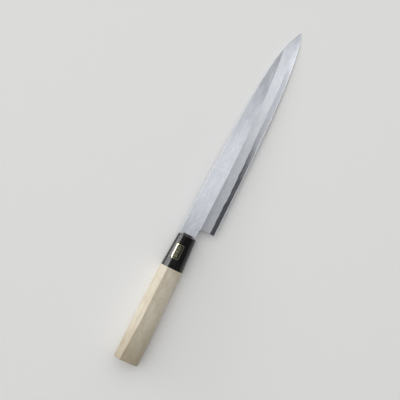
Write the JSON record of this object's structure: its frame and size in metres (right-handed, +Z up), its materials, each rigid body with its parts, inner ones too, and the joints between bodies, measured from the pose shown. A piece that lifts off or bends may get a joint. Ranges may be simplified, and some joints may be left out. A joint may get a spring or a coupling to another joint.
{
  "type": "yanagiba knife",
  "caption": "Long single-bevel slicing knife with a laminated blade, a black horn ferrule and a D-shaped wooden grip, lying on its side.",
  "frame": {"origin": "on the table under the middle of the knife as it lies on its left side", "axes": "+X to the tip, +Y to the spine, +Z up, to the bevelled side"},
  "size_m": [0.3856, 0.0388, 0.0229],
  "materials": {
    "soft_iron": "fine satin, drawn along the blade",
    "hard_steel": "bright whetstone polish",
    "horn": "polished black buffalo horn",
    "magnolia": "bare sanded magnolia",
    "foil": "dark self-adhesive foil with a gold line"
  },
  "bodies": {
    "root": {"blade_soft_iron": "soft_iron", "blade_hard_steel": "hard_steel", "ferrule_horn": "horn", "grip_magnolia": "magnolia", "ferrule_label": "foil"}
  },
  "joints": []
}
